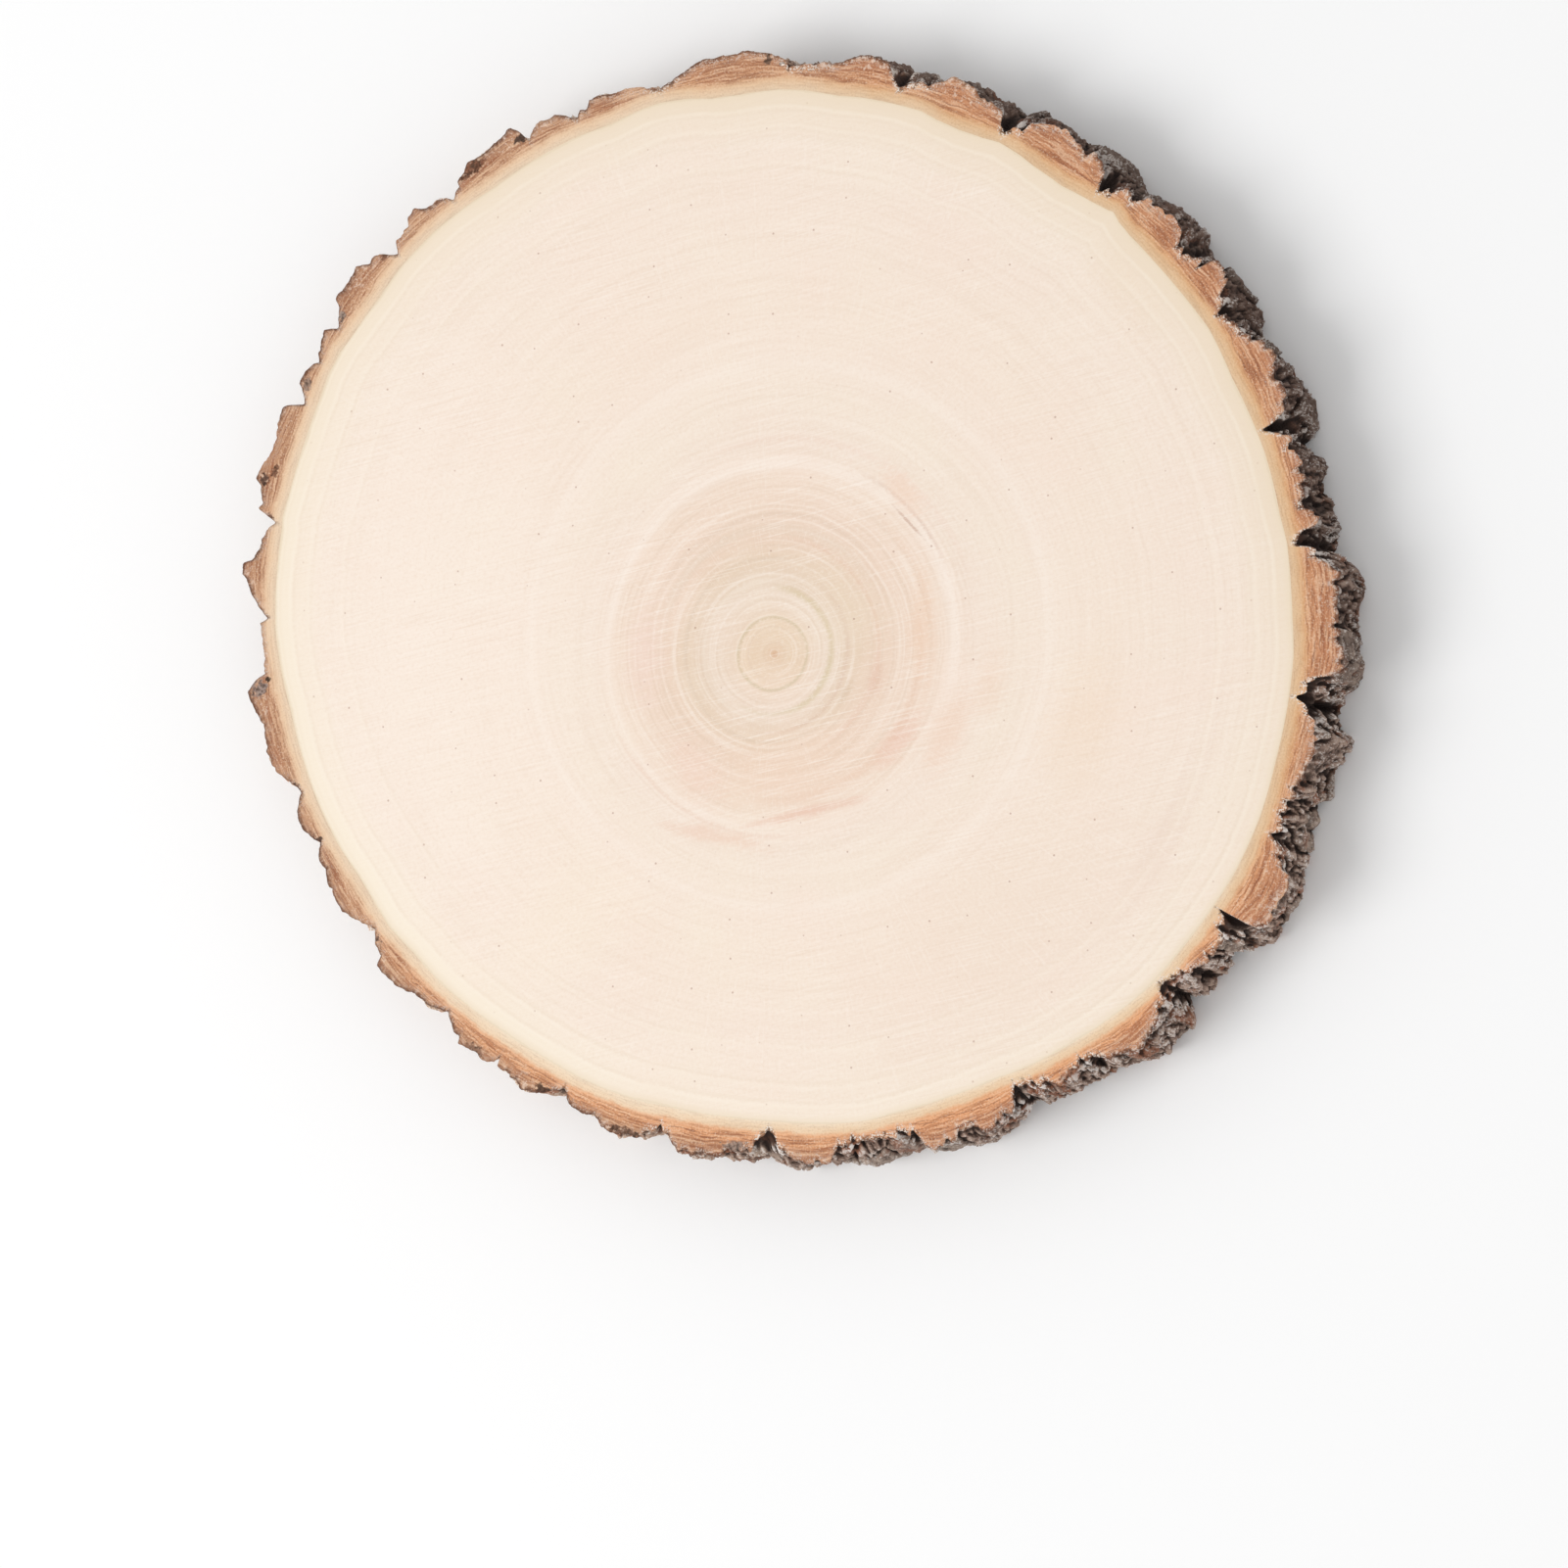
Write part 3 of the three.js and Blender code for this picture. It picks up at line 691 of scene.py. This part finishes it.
    # The youngest wood is yellower, with a faint dark line on its inner side
    inside = wobble * 1.2 + fine * 0.8 - depth
    toward = np.radians(wood["paleSide"])
    lean = flat.node("VectorMath", {"operation": "DOT_PRODUCT"}, {
        0: flat, 1: (np.cos(toward), np.sin(toward), 0)}, out=1)
    young = mix(fade(lean, -120, 140), rgb(238, 220, 196), rgb(248, 236, 216))
    toward = np.radians(wood["plainSide"])
    lean = flat.node("VectorMath", {"operation": "DOT_PRODUCT"}, {
        0: flat, 1: (np.cos(toward), np.sin(toward), 0)}, out=1)
    plain = 1 - fade(lean, 30, 110) * 0.75
    colour = mix(fade(inside, 14.0, 7.0) * plain * 0.35, colour, young)
    colour = mix(fade(inside, 6.0, 3.4) * plain * 0.6, colour, young)
    for gap, strength in ((5.4, 0.35), (10.5, 0.25), (20.5, 0.2)):
        colour = mix(fade(abs(inside - gap), 0.8, 0.0) * whole * strength, colour, rgb(237, 220, 200))
        colour = mix(fade(abs(inside - gap + 1.1), 0.9, 0.0) * whole * strength, colour, rgb(251, 240, 224))
    colour = mix(fade(inside, 2.6, 0.2) * 0.6, colour, rgb(238, 220, 194))
    west = fade(flat.node("SeparateXYZ", {}, {0: flat}), -100, -128)
    colour = mix(fade(abs(inside - 1.0), 0.6, 0.0) * west * 0.25, colour, rgb(253, 245, 229))
    colour = mix(fade(abs(inside - 0.1), 0.5, 0.0) * 0.3, colour, rgb(216, 196, 160))
    return finish(material, tree, colour, 0.62, saw * 0.5 + fine * 0.4, 0.4, 0.12, 0.3)


cutBark = dict(
    # From the wood's edge outwards: mm, colour on the +X side, and then on the -X side
    base=[(0, (224, 194, 160)), (0.8, (226, 192, 154)), (2.2, (226, 186, 144)), (3.2, (221, 171, 126)),
          (4.4, (213, 155, 114)), (6.5, (205, 146, 108)), (11, (194, 134, 98)), (16, (178, 116, 82))],
    shady=[(0, (230, 208, 181)), (1.2, (236, 209, 180)), (2.5, (235, 203, 170)), (3.4, (225, 186, 152)),
           (4.3, (209, 164, 130)), (6, (195, 148, 115)), (10, (180, 132, 100)), (16, (158, 110, 82))],
    layerApart=0.6, layerLong=9, threadApart=0.9,  # layers, mm, layers
    lineDark=(140, 86, 60), lineLight=(238, 200, 166), paleSide=275,
    # Dark places by the rim, partly painted shade in chips there, and grey places: degrees, mm from the log's
    # middle, half sizes along and across
    spots=[(126, 148.8, 4.2, 2.0, (96, 62, 46)), (165.3, 153.2, 1.8, 1.5, (70, 50, 42)),
           (164.2, 150.8, 2.2, 1.0, (96, 64, 48)), (187, 150.6, 2.4, 2.5, (118, 104, 98)),
           (186.1, 147.9, 0.9, 0.8, (24, 16, 13)), (204.3, 144.6, 1.6, 1.2, (66, 46, 38)),
           (242.5, 143.2, 3.6, 1.2, (70, 48, 38)), (253, 144.8, 7.0, 1.3, (84, 60, 48)),
           (119.9, 147.3, 2.3, 1.3, (46, 34, 30)), (91.2, 144.4, 1.4, 1.4, (92, 72, 60)),
           (89.7, 143.2, 0.8, 0.7, (196, 184, 174)), (138.6, 149.6, 2.4, 1.2, (100, 68, 52)),
           (146.8, 150.4, 1.8, 1.4, (128, 112, 102)), (154.8, 150.2, 1.8, 1.3, (124, 104, 92)),
           (169.2, 150.2, 1.8, 1.8, (88, 62, 50)), (198.4, 146, 2.0, 1.2, (86, 62, 50)),
           (217, 143.6, 1.6, 1.2, (110, 84, 70)), (233.5, 144.3, 3.2, 1.0, (112, 84, 68)),
           (265, 142.2, 3.4, 1.3, (120, 102, 92)), (303, 146.6, 5.0, 1.4, (124, 84, 64))],
)


def sawnBark():
    # Base ramps for the two sides, then the bark's layers as stretched noise that fades in outwards,
    # pale scales, pale crumbs, a dark line and painted shade in the pits by the rim, and the dark places there,
    # partly painted shade in chips.
    material, tree, place = newMaterial("sawnBark")
    depth, layer, rimGap = (mark(tree, name) for name in ("depth", "layer", "rimGap"))
    along = tree.node("Attribute", {"attribute_name": "along"}, {}, out=1)
    x = place.node("SeparateXYZ", {}, {0: place})
    patchy = blot(place, 18, detail=1)
    ragged = blot(place, 1.4, detail=2, roughness=0.65) - 0.5
    moved = depth + (blot(place, 5) - 0.5) * 1.6 + ragged * 1.2 * fade(depth, 0.0, 1.5)
    colour = mix(fade(x + (patchy - 0.5) * 120, 70, -70), rampOver(moved, 16, cutBark["base"]),
                 rampOver(moved, 16, cutBark["shady"]))
    toward = np.radians(cutBark["paleSide"])
    lean = place.node("VectorMath", {"operation": "DOT_PRODUCT"}, {
        0: place, 1: (np.cos(toward), np.sin(toward), 0)}, out=1)
    pale = fade(lean, 50, 120)
    colour = mix(fade(moved, 5.5, 1.0) * pale * 0.45, colour, rgb(252, 230, 200))
    colour = mix(fade(moved, 1.4, 0.0) * pale * 0.5, colour, rgb(246, 228, 204))
    colour = mix(fade(moved, 2.0, 3.4) * fade(moved, 8.0, 5.0) * pale * 0.65, colour, rgb(238, 170, 122))
    lift = along.node("CombineXYZ", {}, {2: (blot(place, 3, detail=2) - 0.5) * 1.1})
    bent = along.node("VectorMath", {"operation": "ADD"}, {0: along, 1: lift})
    long, apart = cutBark["layerLong"], cutBark["layerApart"]
    lines = blot(bent, (long, long, apart), detail=1)
    coarse = blot(bent, (long * 1.6, long * 1.6, apart * 3), detail=1)
    threads = layer + (blot(along, (long, long, 2.5), detail=2) - 0.5) * 2.6 + ragged * 0.3
    threads = threads.math("PINGPONG", threads / cutBark["threadApart"], 0.5)
    parted = fade(blot(bent, (5, 5, 0.8), detail=1), 0.4, 0.56)
    outside = fade(moved, 2.6, 4.6)
    colour = mix(fade(coarse, 0.48, 0.3) * outside * 0.5, colour, rgb(164, 100, 68))
    colour = mix(fade(lines, 0.49, 0.36) * (0.1 + 0.4 * outside), colour, rgb(*cutBark["lineDark"]))
    colour = mix(fade(lines, 0.53, 0.66) * (0.12 + 0.35 * outside), colour, rgb(*cutBark["lineLight"]))
    colour = mix(fade(threads, 0.2, 0.02) * parted * (0.1 + 0.62 * outside), colour, rgb(*cutBark["lineDark"]))
    zone = fade(blot(place, 9, detail=1), 0.45, 0.65) * fade(moved, 5.0, 8.0)
    colour = mix(fade(ragged, 0.04, 0.16) * zone * 0.6, colour, rgb(240, 216, 196))
    grit = blot(place, 0.5, detail=1)
    colour = mix(fade(grit, 0.52, 0.72) * (0.15 + 0.25 * outside), colour, rgb(150, 98, 72))
    colour = mix(fade(grit, 0.46, 0.28) * (0.15 + 0.2 * outside), colour, rgb(250, 226, 202))

    rim = fade(rimGap + ragged * 2.6, 1.6, 0.1) * fade(patchy, 0.35, 0.6)
    colour = mix(rim * 0.8, colour, rgb(106, 70, 53))
    notch = fade(layer, 8.5, 5.5)
    # Painted shade in the pits by the rim, darkest at the notches and towards +X.
    pitShade = fade(blot(place, 1.8, detail=3, roughness=0.6), 0.5, 0.6) * fade(rimGap + ragged * 3, 2.4, 0.5)
    colour = mix(pitShade * (0.2 + 0.6 * notch) * (0.25 + 0.75 * fade(x, -60, 30)), colour, rgb(64, 44, 36))
    crumbs = fade(grit + ragged * 0.5, 0.5, 0.61) * fade(rimGap + ragged * 3, 3.0, 0.8)
    colour = mix(crumbs * (0.5 + 0.45 * notch) * (0.4 + 0.6 * fade(x, -90, 0)), colour, rgb(240, 228, 216))
    colour = mix(fade(rimGap + ragged, 0.7, 0.1) * fade(patchy, 0.25, 0.6) * 0.6, colour, rgb(92, 62, 48))
    lumps = blot(place, 0.9, detail=2)
    # Dark places, partly painted shade in chips by the rim, and grey places, each mottled
    for degrees, reach, long, wide, tint in cutBark["spots"]:
        angle = np.radians(degrees)
        middle = (logMiddle[0] + reach * np.cos(angle), logMiddle[1] + reach * np.sin(angle), thickness)
        away = within(place, middle, angle + np.pi / 2, (long, wide, 2))
        mottled = place.node("VectorMath", {"operation": "SCALE"}, {
            0: rgb(*tint)[:3], "Scale": fade(lumps, 0.34, 0.66) * 1.5 + 0.45})
        colour = mix(fade(away + ragged * 2.8, 1.1, 0.6) * 0.9, colour, mottled)
    return finish(material, tree, colour, 0.82, lines * 0.8 + grit * 0.6, 0.6, 0.3, 0.2)


rough = dict(
    # hollow is the near black that paints shade in what lies deep.
    dark=(84, 65, 55), mid=(132, 108, 96), pale=(180, 155, 140), hollow=(38, 27, 23),
    plate=(178, 160, 146), plateDark=(124, 107, 97), rust=(160, 100, 70), fleck=(240, 232, 226),
    # The colour and the side of a broad painted shade, with patches.
    sideShade=(66, 47, 39), shadeSide=48,  # degrees, the side where the bark is darkest
    drySide=170, bleach=(1.66, 1.6, 1.46),  # the side where it is palest, and how much it is paler there
)


def roughBark():
    # Strands of three browns, paler on crests as a painted highlight and darker low down as painted shade,
    # tan plates, rust where it has broken, pale flecks on what stands out, near black painted as shade in what
    # lies deep, and a broad painted shade over one side.
    material, tree, place = newMaterial("roughBark")
    notch, plate, crack, tone, deep, hollow, crest = (
        mark(tree, name) for name in ("notch", "plate", "crack", "tone", "deep", "hollow", "crest"))
    z = place.node("SeparateXYZ", {}, {0: place}, out=2)
    fibres = blot(place, (0.6, 0.6, 3.2), detail=3, roughness=0.65)
    patchy = blot(place, (9, 9, 12))
    # Painted highlight on the crests and painted shade low down, over the strands' own tone from noise.
    lit = crest * 1.3 + (fibres - 0.5) * 1.7
    lit = lit + (patchy - 0.5) * 0.7
    colour = mix(fade(lit, -0.3, 0.15), rgb(*rough["dark"]), rgb(*rough["mid"]))
    colour = mix(fade(lit, 0.12, 0.55), colour, rgb(*rough["pale"]))
    stained = blot(place, 2.2, detail=3, roughness=0.6)
    tan = mix(fade(stained + (fibres - 0.5) * 0.6, 0.35, 0.65), rgb(*rough["plateDark"]), rgb(*rough["plate"]))
    colour = mix(plate * fade(tone, 0.6, 0.9) * 0.85, colour, tan)
    toward = np.radians(rough["drySide"])
    lean = place.node("VectorMath", {"operation": "DOT_PRODUCT"}, {
        0: place, 1: (np.cos(toward), np.sin(toward), 0)}, out=1)
    dry = fade(lean + (patchy - 0.5) * 80, -40, 70)
    edges = fade(z, thickness * 0.8, thickness) + fade(z, thickness * 0.15, 0)
    broken = fade(blot(place, (5, 5, 8), detail=3, roughness=0.6) + edges * 0.08 + dry * 0.05, 0.55, 0.66)
    rusty = mix(fade(fibres, 0.35, 0.65), rgb(138, 84, 58), rgb(*rough["rust"]))
    colour = mix(broken * (1 - plate * 0.6) * 0.7, colour, rusty)
    # Painted shade: the bark is darkened towards one side, broadly and in patches.
    toward = np.radians(rough["shadeSide"])
    lean = place.node("VectorMath", {"operation": "DOT_PRODUCT"}, {
        0: place, 1: (np.cos(toward), np.sin(toward), 0)}, out=1)
    sideShade = fade(lean + (patchy - 0.5) * 160 + (stained - 0.5) * 60, 40, 130)
    colour = mix(sideShade * 0.7, colour, rgb(*rough["sideShade"]))
    flecks = blot(place, (0.6, 0.6, 1.8), roughness=0.7) + (patchy - 0.5) * 0.6 + crest * 0.12
    flecks = fade(flecks + fade(z, thickness - 3.5, thickness) * 0.1 + notch * 0.06, 0.58, 0.7)
    flecks = flecks * fade(hollow - notch * 0.6, 0.3, -0.4) * (1 - sideShade * 0.3)
    colour = mix(flecks * (0.55 + 0.35 * notch), colour, rgb(*rough["fleck"]))
    # Painted shade: near black in the lowest places, the hollows, the cracks and pockets, and the fissures.
    colour = mix(fade(lit, -0.15, -0.8) * 0.8, colour, rgb(*rough["hollow"]))
    colour = mix(fade(hollow, 0.15, 1.2) * 0.85, colour, rgb(*rough["hollow"]))
    colour = mix(fade(crack, 0.2, 0.9) * 0.6, colour, rgb(*rough["hollow"]))
    colour = mix(fade(deep, 0.9, 2.6) * 0.5, colour, rgb(*rough["hollow"]))
    bleached = colour.node("VectorMath", {"operation": "MULTIPLY"}, {0: colour, 1: rough["bleach"]})
    bleached = bleached.node("VectorMath", {"operation": "MINIMUM"}, {0: bleached, 1: rgb(*rough["fleck"])[:3]})
    colour = mix(dry, colour, bleached)
    return finish(material, tree, colour, 0.86, fibres + stained * 0.3, 0.8, 0.5, 0.2)


piece = makeSkin()
for material in (sawnWood(), sawnBark(), roughBark()):
    piece.data.materials.append(material)
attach(piece, "root")
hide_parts(nodeName)
print("materials made")

# Floor, light and camera

studio = dict(
    tilt=20, bearing=-15,  # degrees: how far the view leans from straight down, and towards which side
    distance=1500, pixelsPerMm=3.86, frameSize=1601, sliceAt=(812, 622), sensor=36,
    sky=0.7, keyPower=43, keyWide=1.8, keyAt=(-1.8, -0.9, 2.4), floorWide=24, floorLevel=0.97,
)


def makeCamera():
    # The eye is at its distance from the slice's middle, tilt from straight up, leaning towards
    # bearing. It is aimed beside the slice, so that the slice's middle lies at sliceAt in the picture.
    tilt, bearing = np.radians(studio["tilt"]), np.radians(studio["bearing"])
    back = Vector((np.sin(tilt) * np.cos(bearing), np.sin(tilt) * np.sin(bearing), np.cos(tilt)))
    middle = Vector((logMiddle[0], logMiddle[1], thickness / 2)) * mm
    eye = middle + back * studio["distance"] * mm
    right = (-back).cross(Vector((0, 1, 0))).normalized()
    up = right.cross(-back)
    half = studio["frameSize"] / 2
    offRight, offDown = ((at - half) / studio["pixelsPerMm"] * mm for at in studio["sliceAt"])
    ahead = (middle - right * offRight + up * offDown - eye).normalized()
    right = ahead.cross(Vector((0, 1, 0))).normalized()
    up = right.cross(ahead)
    data = bpy.data.cameras.new("eye")
    data.sensor_width = studio["sensor"]
    data.lens = studio["pixelsPerMm"] * studio["distance"] / studio["frameSize"] * studio["sensor"]
    camera = bpy.data.objects.new("eye", data)
    camera.matrix_world = Matrix.Translation(eye) @ Matrix((right, up, -ahead)).transposed().to_4x4()
    bpy.context.scene.collection.objects.link(camera)
    bpy.context.scene.camera = camera


def makeLight():
    world = bpy.data.worlds.new("studio")
    world.use_nodes = True
    world.node_tree.nodes["Background"].inputs["Color"].default_value = (1, 1, 1, 1)
    world.node_tree.nodes["Background"].inputs["Strength"].default_value = studio["sky"]
    bpy.context.scene.world = world
    lamp = bpy.data.lights.new("key", "AREA")
    lamp.energy = studio["keyPower"]
    lamp.size = studio["keyWide"]
    key = bpy.data.objects.new("key", lamp)
    key.location = studio["keyAt"]
    key.rotation_mode = "QUATERNION"
    key.rotation_quaternion = (-key.location).to_track_quat("-Z", "Y")
    bpy.context.scene.collection.objects.link(key)


def makeFloor():
    half = studio["floorWide"] / 2
    mesh = bpy.data.meshes.new("floor")
    mesh.from_pydata([(-half, -half, 0), (half, -half, 0), (half, half, 0), (-half, half, 0)], [], [(0, 1, 2, 3)])
    floor = bpy.data.objects.new("floor", mesh)
    bpy.context.scene.collection.objects.link(floor)
    material = bpy.data.materials.new("floor")
    material.use_nodes = True
    shader = material.node_tree.nodes["Principled BSDF"]
    shader.inputs["Base Color"].default_value = (studio["floorLevel"],) * 3 + (1,)
    shader.inputs["Roughness"].default_value = 0.9
    mesh.materials.append(material)


makeCamera()
makeLight()
makeFloor()
bpy.context.scene.view_settings.view_transform = "Standard"
print("studio ready")
